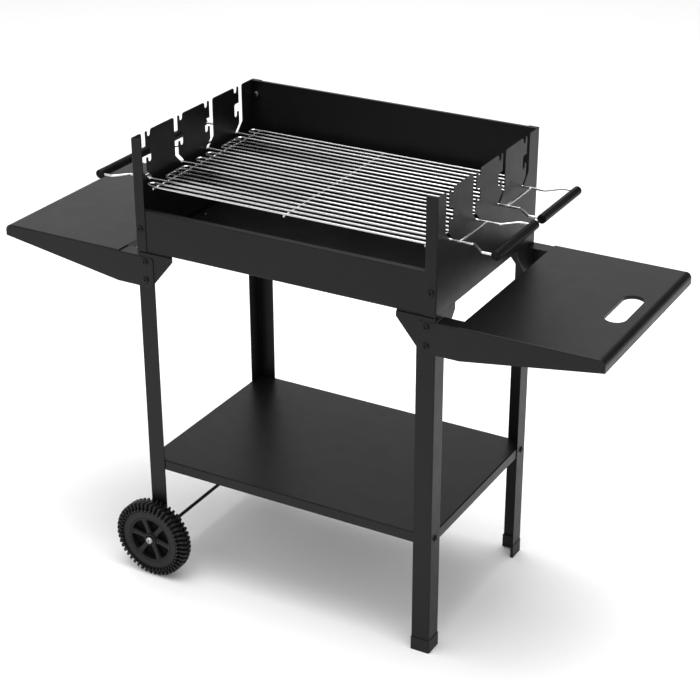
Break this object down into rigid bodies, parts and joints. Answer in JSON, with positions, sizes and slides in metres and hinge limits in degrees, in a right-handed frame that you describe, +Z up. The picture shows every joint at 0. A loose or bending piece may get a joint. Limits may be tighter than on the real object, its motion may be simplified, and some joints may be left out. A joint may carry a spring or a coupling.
{
  "type": "charcoal barbecue trolley",
  "caption": "Rectangular charcoal barbecue on folded legs, with lifting half grates in comb-cut side panels, side shelves, a lower shelf, feet at one end and wheels at the other.",
  "frame": {"origin": "on the ground, under the middle of the trolley", "axes": "+X to the right, along the length, away from the wheels; +Y to the back, towards the high back panel; +Z up"},
  "size_m": [1.2, 0.471, 0.881],
  "materials": {
    "panels": "satin black powder coat on sheet steel",
    "firebox_inside": "matt black heat-resistant coat",
    "legs": "satin black powder coat on folded steel",
    "shelves": "satin black powder coat on sheet steel",
    "black_bolts": "black-finished steel screws",
    "zinc_hardware": "bright zinc-plated steel",
    "axle_steel": "dark steel rod",
    "chromed_wire": "chrome-plated steel wire",
    "grips": "black heat-resistant tube, semi-matt",
    "wheels": "black moulded plastic, matt",
    "feet": "black moulded plastic, matt"
  },
  "bodies": {
    "frame": {"left_side_panel": "panels", "right_side_panel": "panels", "front_panel": "panels", "back_panel": "panels", "firebox_floor": "firebox_inside", "front_left_leg": "legs", "front_right_leg": "legs", "back_left_leg": "legs", "back_right_leg": "legs", "front_right_foot": "feet", "back_right_foot": "feet", "left_side_shelf": "shelves", "right_side_shelf": "shelves", "lower_shelf": "shelves", "axle": "axle_steel", "axle_washers": "zinc_hardware", "axle_caps": "zinc_hardware", "firebox_bolts": "black_bolts", "firebox_nuts": "zinc_hardware", "floor_bolts": "black_bolts", "floor_nuts": "zinc_hardware", "shelf_bolts": "black_bolts", "shelf_nuts": "zinc_hardware", "low_shelf_bolts": "black_bolts", "low_shelf_nuts": "zinc_hardware"},
    "front_grate": {"front_grate_wires": "chromed_wire", "front_grate_handles": "chromed_wire", "front_grate_bars": "chromed_wire", "front_left_grip": "grips", "front_right_grip": "grips"},
    "back_grate": {"back_grate_wires": "chromed_wire", "back_grate_handles": "chromed_wire", "back_grate_bars": "chromed_wire", "back_left_grip": "grips", "back_right_grip": "grips"},
    "front_wheel": {"front_wheel": "wheels"},
    "back_wheel": {"back_wheel": "wheels"}
  },
  "joints": [
    {"name": "front_wheel_spin", "type": "hinge", "parent": "frame", "child": "front_wheel", "pos_m": [-0.2885, -0.2162, 0.0785], "axis": [0, 1, 0], "continuous": true},
    {"name": "back_wheel_spin", "type": "hinge", "parent": "frame", "child": "back_wheel", "pos_m": [-0.2885, 0.2162, 0.0785], "axis": [0, 1, 0], "continuous": true},
    {"name": "front_grate_slide", "type": "slide", "parent": "frame", "child": "front_grate", "axis": [0, -0.7071, 0.7071], "range_m": [0, 0.0195]},
    {"name": "back_grate_slide", "type": "slide", "parent": "frame", "child": "back_grate", "axis": [0, 0.7071, 0.7071], "range_m": [0, 0.0195]}
  ]
}
